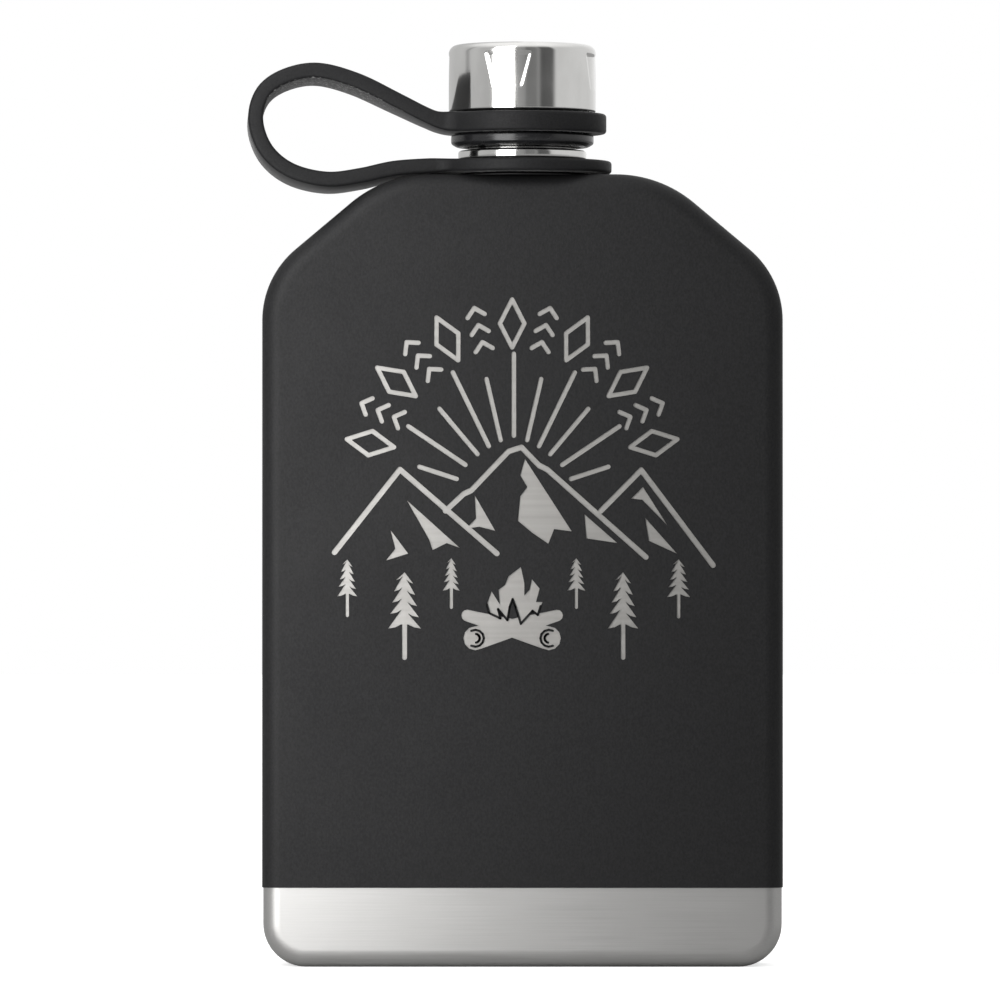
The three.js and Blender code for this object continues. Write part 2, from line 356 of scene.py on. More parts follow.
def brushed_steel():
    """Stainless sheet brushed crosswise; under the coat, where a laser has bared it, it is matt."""
    finish = Finish("brushed_steel", (0.60, 0.585, 0.56), metallic=1, roughness=0.3)
    fine = finish.noise((0.05, 5, 9), detail=4, roughness=0.6)
    broad = finish.noise((0.01, 0.6, 0.8), detail=2)
    bared = finish.spread(finish.height(), 0, 1, COAT_EDGE * MM, (COAT_EDGE + 0.05) * MM)
    streaks = finish.mix(finish.spread(fine, 0, 1), (0.44, 0.435, 0.427), (0.51, 0.505, 0.495))
    etched = finish.mix(finish.spread(broad, 0, 1), (0.31, 0.303, 0.29), (0.36, 0.352, 0.338))
    finish.paint(finish.mix(bared, streaks, etched))
    band_gloss = finish.spread(fine, 0.38, 0.5)
    finish.gloss(finish.math("ADD", band_gloss, finish.math("MULTIPLY", bared, 0.04)))
    finish.bump(fine, 0.004)
    return finish.material


def polished_steel():
    finish = Finish("polished_steel", (0.74, 0.735, 0.72), metallic=1, roughness=0.1)
    turning = finish.noise((0.15, 0.15, 6), detail=3)
    haze = finish.noise((0.25, 0.25, 0.12), detail=3)
    finish.gloss(finish.spread(haze, 0.07, 0.15))
    finish.paint(finish.mix(finish.spread(haze, 0, 1), (0.70, 0.695, 0.68), (0.78, 0.775, 0.76)))
    finish.bump(turning, 0.0012)
    return finish.material


def powder_coat():
    """Matt black powder coat: a fine pebbled grain with a soft, uneven sheen."""
    finish = Finish("powder_coat", (0.016, 0.016, 0.0165), roughness=0.55, specular=0.2)
    grain = finish.noise((3.2, 3.2, 2.2), detail=2, roughness=0.55)
    orange_peel = finish.noise((0.7, 0.7, 0.45), detail=2)
    cloud = finish.noise((0.06, 0.06, 0.06), detail=3)
    finish.paint(finish.mix(finish.spread(grain, 0, 1), (0.008, 0.008, 0.0085), (0.0145, 0.0145, 0.015)))
    finish.gloss(finish.spread(cloud, 0.5, 0.6))
    finish.bump(orange_peel, 0.02)
    finish.bump(grain, 0.025)
    return finish.material


def moulded_silicone():
    """Matt silicone; its inner face has the dusty mottling that such straps gather."""
    finish = Finish("moulded_silicone", (0.023, 0.023, 0.024), roughness=0.6, specular=0.14)
    skin = finish.noise((4, 4, 4), detail=2)
    dust = finish.noise((1.7, 1.7, 1.7), detail=3, roughness=0.7)
    speck = finish.math("MULTIPLY", finish.spread(dust, 0, 1, 0.54, 0.64), finish.attribute("dust"))
    plain = finish.mix(finish.spread(skin, 0, 1), (0.008, 0.008, 0.0085), (0.014, 0.014, 0.0145))
    finish.paint(finish.mix(speck, plain, (0.42, 0.42, 0.41)))
    finish.gloss(finish.spread(dust, 0.48, 0.62))
    finish.shader.inputs["Sheen Weight"].default_value = 0.14
    finish.shader.inputs["Sheen Roughness"].default_value = 0.25
    finish.bump(skin, 0.008)
    return finish.material


def gloss_plastic():
    finish = Finish("gloss_plastic", (0.012, 0.012, 0.013), roughness=0.22)
    flow = finish.noise((0.5, 0.5, 1.5), detail=3)
    finish.gloss(finish.spread(flow, 0.17, 0.3))
    finish.paint(finish.mix(finish.spread(flow, 0, 1), (0.010, 0.010, 0.011), (0.016, 0.016, 0.017)))
    finish.bump(flow, 0.006)
    return finish.material


def seal_silicone():
    finish = Finish("seal_silicone", (0.72, 0.70, 0.65), roughness=0.5)
    skin = finish.noise((1.5, 1.5, 1.5), detail=3)
    finish.paint(finish.mix(finish.spread(skin, 0, 1), (0.68, 0.66, 0.61), (0.77, 0.75, 0.70)))
    finish.bump(skin, 0.01)
    return finish.material


# ---- mesh work ----

def bevel(bm, geometry, width, segments, kind="EDGES"):
    bmesh.ops.bevel(
        bm, geom=geometry, offset=width, offset_type="OFFSET", segments=segments, profile=0.5,
        affect=kind, material=-1, clamp_overlap=False, loop_slide=True,
    )


def line_to(bm, vert, place):
    """Carry an open outline on from vert in a straight line."""
    made = bmesh.ops.extrude_vert_indiv(bm, verts=[vert])
    end = made["verts"][0]
    end.co = place
    return end


def arc_on(bm, vert, centre, angle, steps, axis=(0, -1, 0)):
    """Carry an open outline on from vert in an arc about centre."""
    made = bmesh.ops.spin(
        bm, geom=[vert], cent=centre, axis=axis, dvec=(0, 0, 0), angle=angle, steps=steps,
        use_merge=False, use_normal_flip=False, use_duplicate=False,
    )
    return made["geom_last"][0]


def close_half(bm, axis):
    """Mirror a half outline and fill it with one face."""
    everything = bm.verts[:] + bm.edges[:]
    bmesh.ops.mirror(bm, geom=everything, matrix=Matrix(), merge_dist=1e-4, axis=axis)
    return bmesh.ops.contextual_create(bm, geom=bm.edges[:])["faces"]


def raise_faces(bm, faces, offset):
    """Extrude flat faces into a closed solid."""
    made = bmesh.ops.extrude_face_region(bm, geom=faces)
    moved = [item for item in made["geom"] if isinstance(item, bmesh.types.BMVert)]
    bmesh.ops.translate(bm, verts=moved, vec=offset)
    bmesh.ops.recalc_face_normals(bm, faces=bm.faces[:])


def turned(profile, around, cuts=0):
    """Turn a profile of (radius, height, corner radius) about Z into a closed solid.

    The upright stretch at the largest radius is cut into cuts + 1 rows.
    """
    bm = bmesh.new()
    verts = [bm.verts.new((radius, 0, height)) for radius, height, _ in profile]
    on_axis = profile[0][0] == 0 and profile[-1][0] == 0
    loop = verts if on_axis else verts + verts[:1]
    for pair in zip(loop, loop[1:]):
        bm.edges.new(pair)
    for vert, (_, _, corner) in zip(verts, profile):
        if corner:
            bevel(bm, [vert], corner, max(4, round(corner * CORNER_STEPS)), "VERTICES")
    if cuts:
        reach = max(vert.co.x for vert in bm.verts)
        upright = [e for e in bm.edges if min(v.co.x for v in e.verts) > reach - 1e-4]
        bmesh.ops.subdivide_edges(bm, edges=upright, cuts=cuts)
    bmesh.ops.spin(
        bm, geom=bm.verts[:] + bm.edges[:], cent=(0, 0, 0), axis=UP, dvec=(0, 0, 0),
        angle=FULL_TURN, steps=around, use_merge=True, use_normal_flip=False, use_duplicate=False,
    )
    bmesh.ops.remove_doubles(bm, verts=bm.verts[:], dist=1e-4)
    bmesh.ops.recalc_face_normals(bm, faces=bm.faces[:])
    return bm


def thread_ridge(base, crest, base_width, crest_width, start):
    """A helical ridge: a section carried round and up, faded out at both ends."""
    bm = bmesh.new()
    section = [
        (base, -base_width / 2), (crest, -crest_width / 2),
        (crest, crest_width / 2), (base, base_width / 2),
    ]
    verts = [bm.verts.new((radius, 0, start + height)) for radius, height in section]
    for pair in zip(verts, verts[1:] + verts[:1]):
        bm.edges.new(pair)
    steps = THREAD_STEPS * THREAD_TURNS
    bmesh.ops.spin(
        bm, geom=bm.verts[:] + bm.edges[:], cent=(0, 0, 0), axis=UP,
        dvec=(0, 0, LEAD * THREAD_TURNS / steps), angle=FULL_TURN * THREAD_TURNS, steps=steps,
        use_merge=False, use_normal_flip=False, use_duplicate=False,
    )
    bmesh.ops.holes_fill(bm, edges=[e for e in bm.edges if e.is_boundary], sides=4)
    for vert in bm.verts:
        around = math.atan2(vert.co.y, vert.co.x) % FULL_TURN / FULL_TURN
        turns = around + round((vert.co.z - start) / LEAD - around)
        along = min(max(turns / THREAD_TURNS, 0), 1)
        size = max(min(1, along / THREAD_FADE, (1 - along) / THREAD_FADE), THREAD_TIP)
        radius = math.hypot(vert.co.x, vert.co.y)
        centre = start + LEAD * turns
        scale = (base + (radius - base) * size) / radius
        vert.co.x *= scale
        vert.co.y *= scale
        vert.co.z = centre + (vert.co.z - centre) * size
    bmesh.ops.recalc_face_normals(bm, faces=bm.faces[:])
    return bm


def temporary(bm, name):
    mesh = bpy.data.meshes.new(name)
    bm.to_mesh(mesh)
    bm.free()
    thing = bpy.data.objects.new(name, mesh)
    bpy.context.collection.objects.link(thing)
    return thing


def combine(bm, other, operation, overlapping=False):
    """Cut other from bm, or join it, and return the result as a new bmesh."""
    target, tool = temporary(bm, "target"), temporary(other, "tool")
    boolean = target.modifiers.new("boolean", "BOOLEAN")
    boolean.operation = operation
    boolean.solver = "EXACT"
    boolean.use_self = overlapping
    boolean.object = tool
    bpy.context.view_layer.update()
    result = bmesh.new()
    result.from_object(target, bpy.context.evaluated_depsgraph_get())
    for thing in (target, tool):
        mesh = thing.data
        bpy.data.objects.remove(thing)
        bpy.data.meshes.remove(mesh)
    return result


def drum(radius, low, high, around=96):
    bm = bmesh.new()
    bmesh.ops.create_cone(
        bm, cap_ends=True, segments=around, radius1=radius, radius2=radius, depth=high - low,
        matrix=Matrix.Translation((0, 0, (low + high) / 2)),
    )
    return bm


def finished(name, bm, material, body, nodes=(), sharp=32):
    """Bring a bmesh to metres as a piece with soft curved faces, riding on a body."""
    bmesh.ops.scale(bm, vec=(MM, MM, MM), verts=bm.verts)
    for face in bm.faces:
        face.smooth = True
    for edge in bm.edges:
        edge.smooth = len(edge.link_faces) == 2 and edge.calc_face_angle() < math.radians(sharp)
    piece = temporary(bm, name)
    piece.data.name = name
    piece.data.materials.append(material)
    if body:
        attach(piece, body)
    if nodes:
        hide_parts(*nodes)
    return piece


# ---- body ----

def body_form(inset):
    """The body's whole outer surface, drawn in by inset, with its front and back edges rounded."""
    facing = math.pi / 2 - SHOULDER_SLOPE
    top_z = TOP - TOP_RADIUS
    shoulder_x = HALF_WIDTH - SHOULDER_RADIUS
    shoulder_drop = (TOP_RADIUS - SHOULDER_RADIUS) - (shoulder_x - TOP_FLAT_HALF) * math.cos(facing)
    shoulder_z = top_z + shoulder_drop / math.sin(facing)
    base_x = HALF_WIDTH - BASE_RADIUS
    base_z = BASE_RADIUS - STEEL_INSET
    front = -(HALF_DEPTH - inset)
    bm = bmesh.new()
    vert = bm.verts.new((0, front, inset - STEEL_INSET))
    vert = line_to(bm, vert, (base_x, front, inset - STEEL_INSET))
    vert = arc_on(bm, vert, (base_x, front, base_z), math.pi / 2, CURVE_STEPS)
    vert = line_to(bm, vert, (HALF_WIDTH - inset, front, shoulder_z))
    vert = arc_on(bm, vert, (shoulder_x, front, shoulder_z), facing, CURVE_STEPS)
    reach = TOP_RADIUS - inset
    along = (TOP_FLAT_HALF + reach * math.cos(facing), front, top_z + reach * math.sin(facing))
    vert = line_to(bm, vert, along)
    vert = arc_on(bm, vert, (TOP_FLAT_HALF, front, top_z), SHOULDER_SLOPE, CURVE_STEPS)
    line_to(bm, vert, (0, front, TOP - inset))
    face = close_half(bm, "X")
    raise_faces(bm, face, (0, -2 * front, 0))
    rims = [e for e in bm.edges if abs(e.verts[0].co.y - e.verts[1].co.y) < 1e-6]
    bevel(bm, rims, EDGE_RADIUS - inset, EDGE_STEPS)
    flats = [f for f in bm.faces if abs(f.normal.y) > 0.999]
    bmesh.ops.inset_region(bm, faces=flats, thickness=SUPPORT, use_even_offset=True)
    return bm


def halved(bm, place, outward):
    everything = bm.verts[:] + bm.edges[:] + bm.faces[:]
    bmesh.ops.bisect_plane(
        bm, geom=everything, plane_co=place, plane_no=outward, clear_outer=True, dist=1e-5,
    )


def neck_hole():
    return drum(NECK_HOLE, TOP - 10, TOP + 5)


def steel_half(name, node, outward):
    """One pressed half of the body, its rim on the weld's plane."""
    bm = body_form(STEEL_INSET)
    halved(bm, (0, WELD, 0), outward)
    bmesh.ops.solidify(bm, geom=bm.faces[:], thickness=WALL)
    bm = combine(bm, neck_hole(), "DIFFERENCE")
    return finished(name, bm, STEEL, "flask", (node,))


def make_coat():
    """The coat over both halves, swollen round the spout's foot, with the engraving cut through. The
    swelling also fills the gap under the strap's ring with dark coat, in place of the shade that falls
    there.
    """
    bm = body_form(0)
    halved(bm, (0, 0, COAT_EDGE), (0, 0, -1))
    bmesh.ops.solidify(bm, geom=bm.faces[:], thickness=COAT_THICKNESS)
    bm = combine(bm, neck_hole(), "DIFFERENCE")
    # the coat climbs the spout's foot; this also puts dark coat over the bright steel under the strap's
    # ring, standing in for the shade there
    inner, foot, crown = 9.5, 12.6, 11.0
    under, crest = TOP - 0.14, TOP + 0.41
    swelling_for_shade = turned([
        (inner, under, 0), (foot, under, 0), (foot, TOP + 0.01, 0), (11.6, TOP + 0.16, 0),
        (crown, crest, 0.08), (inner, crest, 0.05),
    ], 96)
    bm = combine(bm, swelling_for_shade, "UNION")
    bm = combine(bm, engraving(), "DIFFERENCE", overlapping=True)
    lines = left_in_coat()
    standing = bpy.data.meshes.new("standing")
    lines.to_mesh(standing)
    lines.free()
    bm.from_mesh(standing)
    bpy.data.meshes.remove(standing)
    finished("coat", bm, COAT, "flask", ("powder_coat",))


# ---- engraving ----

ART_X = -0.8
ART_Z = 80.0
ART_DEPTH = 1.0


def slab(bm, points):
    """A flat closed shape, raised through the coat. Points are (across, up) from the art's centre."""
    front = -HALF_DEPTH - ART_DEPTH / 2
    verts = [bm.verts.new((ART_X + x, front, ART_Z + z)) for x, z in points]
    edges = [bm.edges.new(pair) for pair in zip(verts, verts[1:] + verts[:1])]
    faces = bmesh.ops.contextual_create(bm, geom=edges)["faces"]
    made = bmesh.ops.extrude_face_region(bm, geom=faces)
    moved = [item for item in made["geom"] if isinstance(item, bmesh.types.BMVert)]
    bmesh.ops.translate(bm, verts=moved, vec=(0, ART_DEPTH, 0))


def tapered(bm, start, end, back=ART_DEPTH / 2):
    """A bar between two round ends, each (across, up, radius), back this far into the coat."""
    lie = Matrix.Rotation(math.pi / 2, 4, "X")
    rounds = []
    for x, z, radius in (start, end):
        for depth in (back - ART_DEPTH, back):
            place = Matrix.Translation((ART_X + x, depth - HALF_DEPTH, ART_Z + z)) @ lie
            circle = bmesh.ops.create_circle(bm, segments=12, radius=radius, matrix=place)
            rounds += circle["verts"]
    rims = list({edge for vert in rounds for edge in vert.link_edges})
    bmesh.ops.delete(bm, geom=rims, context="EDGES_FACES")
    hull = bmesh.ops.convex_hull(bm, input=rounds, use_existing_faces=False)
    inside = set(hull["geom_interior"]) | set(hull["geom_unused"])
    spare = [item for item in inside if isinstance(item, bmesh.types.BMVert)]
    bmesh.ops.delete(bm, geom=spare, context="VERTS")


def stroke(bm, points, width):
    """A bar with round ends along each stretch of a line."""
    for (x1, z1), (x2, z2) in zip(points, points[1:]):
        tapered(bm, (x1, z1, width / 2), (x2, z2, width / 2))


def sunburst(bm):
    centre = (-0.7, 0.4)
    for tilt, inner, outer in (
        (0, 10.6, 24.6), (13, 10.1, 20.8), (26, 9.8, 23.8), (40, 9.7, 19.8), (56, 10.0, 21.8),
        (72, 10.3, 17.0),
    ):
        for side in ({-1, 1} if tilt else {1}):
            across = math.sin(math.radians(tilt)) * side
            up = math.cos(math.radians(tilt))
            stroke(bm, [(centre[0] + across * r, centre[1] + up * r) for r in (inner, outer)], 0.8)


def peaks(bm):
    stroke(bm, [(-31.4, -9.0), (-20.2, 5.2), (-3.6, -9.2)], 0.95)
    stroke(bm, [
        (-12.4, -1.9), (-9.3, 1.0), (-8.0, 1.6), (-1.6, 8.3), (0.6, 9.0), (3.6, 5.9), (5.0, 5.2),
        (21.9, -9.8),
    ], 0.95)
    stroke(bm, [(14.2, -1.9), (21.1, 5.1), (33.4, -11.2)], 0.95)


def snow(bm):
    slab(bm, [(-19.0, -0.1), (-10.0, -8.2), (-12.2, -7.4), (-14.6, -8.6), (-15.2, -6.8)])
    slab(bm, [(-21.8, -5.2), (-18.8, -9.2), (-22.6, -10.4), (-21.0, -8.4)])
    slab(bm, [(-7.4, 0.8), (-3.9, -5.3), (-6.6, -4.6), (-8.8, -4.9), (-7.2, -3.2)])
    slab(bm, [
        (1.2, 7.0), (9.2, -5.4), (6.2, -5.0), (5.2, -7.5), (2.4, -5.6), (0.0, -3.6), (0.4, 0.6),
        (1.6, 2.2), (0.4, 4.2),
    ])
    slab(bm, [(11.4, -2.5), (17.0, -7.4), (11.7, -6.6)])
    slab(bm, [(21.4, 2.2), (25.6, -4.4), (21.3, 0.0), (19.4, 0.2)])
    slab(bm, [(21.8, -3.1), (27.2, -9.2), (22.4, -7.0)])


def pine(bm, x, tip, foot, width, tiers):
    """A pine: ragged drooping tiers that widen downwards, on a bare trunk."""
    crown = (tip - foot) * 0.66
    sides = []
    for side, stagger in ((1, 0), (-1, 0.3)):
        points = []
        for tier in range(tiers):
            reach = width / 2 * (0.4 + 0.6 * (tier + 1) / tiers)
            droop = tip - crown * (tier + 1 - stagger * (tier < tiers - 1)) / tiers
            points += [
                (x + side * reach, droop), (x + side * reach * 0.55, droop + crown / tiers * 0.12),
                (x + side * reach * 0.22, droop + crown / tiers * 0.36),
            ]
        sides.append(points)
    slab(bm, [(x, tip)] + sides[0] + sides[1][::-1])
    stroke(bm, [(x, tip - crown * 0.6), (x, foot)], max(0.55, width * 0.15))


def pines(bm):
    pine(bm, -29.2, -10.2, -19.8, 3.4, 5)
    pine(bm, -19.4, -12.4, -27.0, 5.6, 5)
    pine(bm, -11.4, -10.0, -18.4, 2.9, 5)
    pine(bm, 10.0, -10.0, -18.4, 3.1, 5)
    pine(bm, 18.0, -12.4, -27.0, 5.2, 5)
    pine(bm, 27.5, -10.2, -20.0, 4.0, 5)


LOG_ENDS = ((-7.3, 1), (5.3, -1))  # where each big log end lies, and which way it faces
LOG_LOW, LOG_HIGH = -23.7, -19.8
FLAME_FOOT = [
    (-5.3, -17.9), (-4.9, -19.4), (-3.0, -20.3), (-3.4, -18.7), (-1.8, -20.6), (-1.4, -18.3),
    (-0.9, -17.0), (-0.4, -18.3), (0.5, -21.2), (2.5, -19.0), (3.4, -19.7), (3.9, -18.2),
]


def campfire(bm):
    """A fire on two crossed logs."""
    for x, facing in LOG_ENDS:
        tapered(bm, (x, LOG_LOW, 2.05), (x + facing * 14.0, LOG_HIGH, 1.0))
    slab(bm, FLAME_FOOT + [
        (4.2, -17.5), (3.1, -17.5), (3.7, -15.2), (2.4, -13.6), (2.0, -15.4), (1.1, -16.4),
        (1.1, -14.3), (0.5, -11.5), (-1.6, -13.1), (-2.2, -14.6), (-3.3, -15.4), (-3.1, -17.9),
        (-4.5, -15.7),
    ])


def left_in_coat():
    """Fine lines of coat left standing in the fire: its foot, and the rings of the logs."""
    bm = bmesh.new()
    lines = [FLAME_FOOT]
    for x, facing in LOG_ENDS:
        for radius, spread in ((1.45, 118), (0.75, 80)):
            angles = [math.radians(-spread + spread * step / 4) for step in range(9)]
            lines.append([
                (x + facing * radius * math.cos(a), LOG_LOW + radius * math.sin(a)) for a in angles
            ])
    for line in lines:
        for (x1, z1), (x2, z2) in zip(line, line[1:]):
            tapered(bm, (x1, z1, 0.2), (x2, z2, 0.2), back=COAT_THICKNESS)
    bmesh.ops.bisect_plane(
        bm, geom=bm.verts[:] + bm.edges[:] + bm.faces[:], plane_co=(0, -HALF_DEPTH, 0),
        plane_no=(0, -1, 0), clear_outer=True, dist=1e-6,
    )
    bmesh.ops.holes_fill(bm, edges=[e for e in bm.edges if e.is_boundary], sides=0)
    bmesh.ops.recalc_face_normals(bm, faces=bm.faces[:])
    return bm


def garland(bm):
    """An arch of outlined diamonds with chevrons between them."""
    centre = (-1.0, 5.6)
    radius = 24.6
    for step in range(-6, 7):
        angle = math.radians(13.4 * step)
        outward = Vector((math.sin(angle), math.cos(angle)))
        across = Vector((outward.y, -outward.x))
        middle = Vector(centre) + outward * radius
        if step % 2 == 0:
            corners = [(0, 4.1), (2.1, 0), (0, -4.1), (-2.1, 0), (0, 4.1)]
            stroke(bm, [middle + across * a + outward * b for a, b in corners], 0.78)
        else:
            for lift in (-2.6, 0.4, 3.4):
                corners = [(-1.5, lift - 1.4), (0, lift), (1.5, lift - 1.4)]
                stroke(bm, [middle + across * a + outward * b for a, b in corners], 0.78)


def engraving():
    bm = bmesh.new()
    for motif in (sunburst, peaks, snow, pines, campfire, garland):
        motif(bm)
    bmesh.ops.recalc_face_normals(bm, faces=bm.faces[:])
    return bm


# ---- neck and cap ----

def make_neck():
    """The spout: a tube with a collar and a thread."""
    bore, tube, root, collar = 8.5, 9.45, 9.2, NECK_HIGH.x
    collar_low, collar_high = TOP + 2.8, TOP + 4.4
    bm = turned([
        (bore, NECK_LOW.z, 0.2), (tube, NECK_LOW.z, 0.2), (tube, collar_low, 0.15),
        (collar, collar_low, 0.35), (collar, collar_high, 0.4), (tube, collar_high, 0.2),
        (tube, TOP + 6.55, 0.15), (root, TOP + 6.85, 0.15), (root, NECK_HIGH.z, 0.33),
        (bore, NECK_HIGH.z, 0.3),
    ], AROUND)
    ridge = thread_ridge(9.0, 9.95, 2.6, 1.2, TOP + 8.3)
    bm = combine(bm, ridge, "UNION")
    finished("spout", bm, POLISHED, "flask", ("neck",))


DIMPLES = 4
DIMPLE_TURN = math.radians(-90 - 11.7)
DIMPLE_LOW, DIMPLE_HIGH = 14.9, 20.7
DIMPLE_NARROW, DIMPLE_WIDE = 2.4, 3.95  # half widths at its foot and at its head
DIMPLE_SHALLOW, DIMPLE_DEEP = 0.09, 0.17
DIMPLE_RIM = 0.42


def eased(value, start, end):
    t = min(max((value - start) / (end - start), 0), 1)
    return t * t * (3 - 2 * t)


def press_dimples(bm, wall):
    """Press the grip dimples in: shallow scoops that deepen and widen upwards, with soft rims."""
    pitch = FULL_TURN / DIMPLES
    for vert in bm.verts:
        radius = math.hypot(vert.co.x, vert.co.y)
        height = vert.co.z - TOP
        if radius < wall - 1 or not DIMPLE_LOW - 1 < height < DIMPLE_HIGH + 1:
            continue
        bearing = math.atan2(vert.co.y, vert.co.x) - DIMPLE_TURN
        across = abs((bearing + pitch / 2) % pitch - pitch / 2) * wall
        up = (height - DIMPLE_LOW) / (DIMPLE_HIGH - DIMPLE_LOW)
        width = DIMPLE_NARROW + (DIMPLE_WIDE - DIMPLE_NARROW) * up
        share = 1 - eased(across, width - DIMPLE_RIM, width + DIMPLE_RIM)
        share *= eased(height, DIMPLE_LOW - DIMPLE_RIM, DIMPLE_LOW + DIMPLE_RIM)
        share *= 1 - eased(height, DIMPLE_HIGH - DIMPLE_RIM, DIMPLE_HIGH + DIMPLE_RIM)
        depth = DIMPLE_SHALLOW + (DIMPLE_DEEP - DIMPLE_SHALLOW) * up
        scale = 1 - depth * share / radius
        vert.co.x *= scale
        vert.co.y *= scale


def make_cup():
    """The cap's steel cup, fine enough for the soft rims of its dimples."""
    outer, wall, low, high = CUP_HIGH.x, 0.6, CUP_LOW.z, CUP_HIGH.z
    inner = outer - wall
    bm = turned([
        (0, high - wall, 0), (inner, high - wall, 1.2), (inner, low, 0.12), (outer, low, 0.25),
        (outer, high, 1.5), (0, high, 0),
    ], 600, cuts=72)
    press_dimples(bm, outer)
    finished("cap_cup", bm, POLISHED, "cap", ("cap_shell",))


def make_core():
    """The cap's plastic core: its thread, the groove for the strap's ring, and the skirt below."""
    low, high = CORE_LOW.z, CORE_HIGH.z
    bore, groove, head, skirt_foot, skirt = 10.25, 11.0, 11.3, 11.3, CORE_HIGH.x
    seat, groove_low, groove_high = TOP + 18.95, TOP + 7.1, TOP + 10.95
    bm = turned([
        (0, seat, 0), (bore, seat, 0.3), (bore, low, 0.25), (skirt_foot, low, 0.3),
        (skirt, low + 0.6, 0.3), (skirt, groove_low, 0.3), (groove, groove_low, 0.15),
        (groove, groove_high, 0.15), (head, groove_high, 0.15), (head, high, 0.9),
        (0, high, 0),
    ], AROUND)
    bm = combine(bm, thread_ridge(10.5, 9.5, 2.2, 1.1, TOP + 6.55), "UNION")
    finished("cap_core_moulding", bm, PLASTIC, "cap", ("cap_core",))


def make_gasket():
    radius, low, high = GASKET_HIGH.x, GASKET_LOW.z, GASKET_HIGH.z
    bm = turned([(0, low, 0), (radius, low, 0.25), (radius, high, 0.25), (0, high, 0)], 96)
    finished("gasket", bm, SEAL, "cap", ("cap_gasket",))


# ---- strap ----

class Route:
    """A smooth line through the strap's points, measured by its length."""

    def __init__(self, points, steps=24):
        padded = [2 * Vector(points[0]) - Vector(points[1])]
        padded += [Vector(point) for point in points]
        padded += [2 * Vector(points[-1]) - Vector(points[-2])]
        self.places = []
        for a, b, c, d in zip(padded, padded[1:], padded[2:], padded[3:]):
            for step in range(steps):
                t = step / steps
                self.places.append(
                    0.5 * (2 * b + (c - a) * t + (2 * a - 5 * b + 4 * c - d) * t ** 2
                           + (3 * b - a - 3 * c + d) * t ** 3)
                )
        self.places.append(Vector(points[-1]))
        self.marks = [0.0]
        for p, q in zip(self.places, self.places[1:]):
            self.marks.append(self.marks[-1] + (q - p).length)
        self.length = self.marks[-1]

    def at(self, distance):
        """The place and direction at a distance along the line."""
        low, high = 0, len(self.marks) - 2
        while low < high:
            middle = (low + high + 1) // 2
            if self.marks[middle] <= distance:
                low = middle
            else:
                high = middle - 1
        p, q = self.places[low], self.places[low + 1]
        share = (distance - self.marks[low]) / (self.marks[low + 1] - self.marks[low])
        before = self.places[max(low - 1, 0)]
        after = self.places[min(low + 2, len(self.places) - 1)]
        direction = ((q - before) * (1 - share) + (after - p) * share).normalized()
        return p.lerp(q, share), direction

    def inside(self, distance, height):
        """The point at a height off the line, on the inner side of the loop."""
        place, direction = self.at(distance)
        return place.x + direction.y * height, place.y - direction.x * height

    def crossing(self, x, upper):
        """The distance at which the line crosses x, on its lower or upper run."""
        order = range(len(self.places) - 1, 0, -1) if upper else range(1, len(self.places))
        for i in order:
            p, q = self.places[i - 1], self.places[i]
            if (p.x - x) * (q.x - x) <= 0 and p.x != q.x:
                return self.marks[i - 1] + (x - p.x) / (q.x - p.x) * (q - p).length
        return 0


def strap_edges(bm):
    """Round the square edges of a strap part while it lies flat."""
    square = math.radians(70)
    rims = [
        e for e in bm.edges
        if len(e.link_faces) == 2 and e.calc_face_angle() > square
        and abs(e.verts[0].co.z - e.verts[1].co.z) < 1e-5
    ]
    bevel(bm, rims, STRAP_EDGE, 4)


def flat_tag(ring_radius, hole, thickness, run):
    """A ring with a band leading off to -X, flat, as the strap is moulded, and centred on height 0."""
    half = STRAP_WIDTH / 2
    centre_y = half + STRAP_FILLET
    centre_x = -math.sqrt((ring_radius + STRAP_FILLET) ** 2 - centre_y ** 2)
    meet = math.atan2(centre_y, centre_x)
    bm = bmesh.new()
    vert = bm.verts.new((ring_radius, 0, -thickness / 2))
    vert = arc_on(bm, vert, (0, 0, -thickness / 2), meet, 56, UP)
    turn = meet + math.pi - 1.5 * math.pi
    vert = arc_on(bm, vert, (centre_x, centre_y, -thickness / 2), -turn, 10, UP)
    vert = line_to(bm, vert, (-run, half, -thickness / 2))
    line_to(bm, vert, (-run, 0, -thickness / 2))
    face = close_half(bm, "Y")
    raise_faces(bm, face, (0, 0, thickness))
    bm = combine(bm, drum(hole, -thickness, thickness, 112), "DIFFERENCE")
    strap_edges(bm)
    return bm


def flat_band(run):
    bm = bmesh.new()
    size = Matrix.Diagonal((run + 10, STRAP_WIDTH, STRAP_THICKNESS, 1))
    bmesh.ops.create_cube(bm, size=1, matrix=Matrix.Translation((-run / 2, 0, 0)) @ size)
    strap_edges(bm)
    trimmed(bm, 0, 1)
    trimmed(bm, -run, -1)
    return bm


def sliced(bm, start, end):
    """Cut a flat strap part across at even steps, so that it can bend."""
    count = round(abs(end - start) / STRAP_STEP)
    for number in range(1, count):
        x = start + (end - start) * number / count
        everything = bm.verts[:] + bm.edges[:] + bm.faces[:]
        bmesh.ops.bisect_plane(bm, geom=everything, plane_co=(x, 0, 0), plane_no=(1, 0, 0), dist=1e-5)


def trimmed(bm, x, outward):
    """End a flat strap part at x, and close it there."""
    halved(bm, (x, 0, 0), (outward, 0, 0))
    bmesh.ops.holes_fill(bm, edges=[e for e in bm.edges if e.is_boundary], sides=0)


def swing(bm):
    bmesh.ops.rotate(bm, cent=(0, 0, 0), matrix=Matrix.Rotation(STRAP_SWING, 3, "Z"), verts=bm.verts)


def mark_dust(piece, dust):
    """Keep, for each point of the mesh, how dusty it is."""
    layer = piece.data.attributes.new("dust", "FLOAT", "POINT")
    layer.data.foreach_set("value", dust)


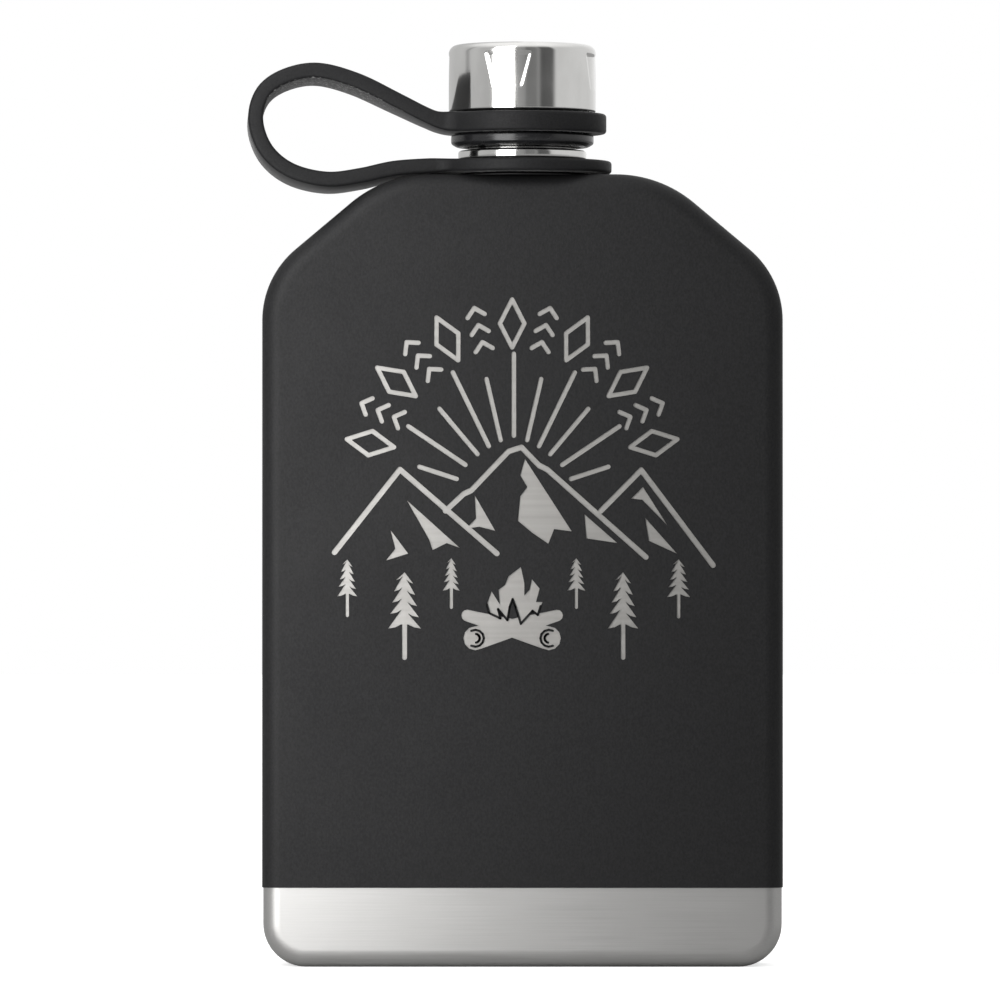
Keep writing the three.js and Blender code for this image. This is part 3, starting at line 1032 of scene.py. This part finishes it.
def bent(bm, thickness, place_of):
    """Bend a flat strap part by place_of(x, height), and tell how dusty each point is."""
    dust = []
    for vert in bm.verts:
        inner = vert.co.z > thickness / 2 - 0.1
        x, z = place_of(vert.co.x, vert.co.z)
        z -= STRAP_ROLL * vert.co.y * eased(-x, *ROLL_SPAN)
        vert.co.x, vert.co.z = x, z
        dust.append(eased(z - TOP, *DUST_SPAN) if inner else 0.0)
    return dust


def strap_end(name, node, ring, thickness, route, distance, upper):
    """One end of the strap: its ring and the run that leads to the bend.

    The upper end lies upside down on its flat moulding, so that both inner faces start on top.
    """
    crease, lift = STRAP_ROUTE[-1] if upper else STRAP_ROUTE[0]
    turn = -1 if upper else 1
    spare = 5

    def place_of(x, height):
        beyond = crease - x
        share = eased(beyond, *TAPER_SPAN)
        height *= 1 + share * (STRAP_THICKNESS / thickness - 1)
        if beyond <= 0:
            return x, TOP + lift + turn * height
        return route.inside(route.length - beyond if upper else beyond, height)

    bm = flat_tag(*ring, thickness, distance - crease + spare)
    sliced(bm, crease + 1, crease - distance)
    trimmed(bm, crease - distance, -1)
    dust = bent(bm, thickness, place_of)
    bmesh.ops.recalc_face_normals(bm, faces=bm.faces[:])
    swing(bm)
    end = finished(name, bm, SILICONE, None, (node,), 50)
    mark_dust(end, dust)
    return end


def make_strap():
    """The strap in three: its two ends, and between them the bend, which rides on a body of its own."""
    route = Route([(x, TOP + z) for x, z in STRAP_ROUTE])
    lower_cut = route.crossing(STRAP_CUT, False)
    upper_cut = route.crossing(STRAP_CUT, True)

    lower = strap_end(
        "strap_lower", "strap_neck_end", NECK_RING, NECK_RING_THICKNESS, route, lower_cut, False,
    )
    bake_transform(lower)

    bm = flat_band(upper_cut - lower_cut)
    sliced(bm, 0, lower_cut - upper_cut)
    dust = bent(bm, STRAP_THICKNESS, lambda x, height: route.inside(lower_cut - x, height))
    bmesh.ops.recalc_face_normals(bm, faces=bm.faces[:])
    swing(bm)
    bend = finished("strap_turn", bm, SILICONE, "strap_loop", ("strap_bend",), 50)
    mark_dust(bend, dust)

    upper = strap_end(
        "strap_upper", "strap_cap_end", CAP_RING, CAP_RING_THICKNESS, route,
        route.length - upper_cut, True,
    )
    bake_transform(upper)


# ---- assembly ----

STEEL = brushed_steel()
POLISHED = polished_steel()
COAT = powder_coat()
SILICONE = moulded_silicone()
PLASTIC = gloss_plastic()
SEAL = seal_silicone()

make_camera()
make_studio()
steel_half("front_half", "front_shell", (0, 1, 0))
steel_half("back_half", "back_shell", (0, -1, 0))
make_coat()
make_neck()
make_cup()
make_core()
make_gasket()
make_strap()
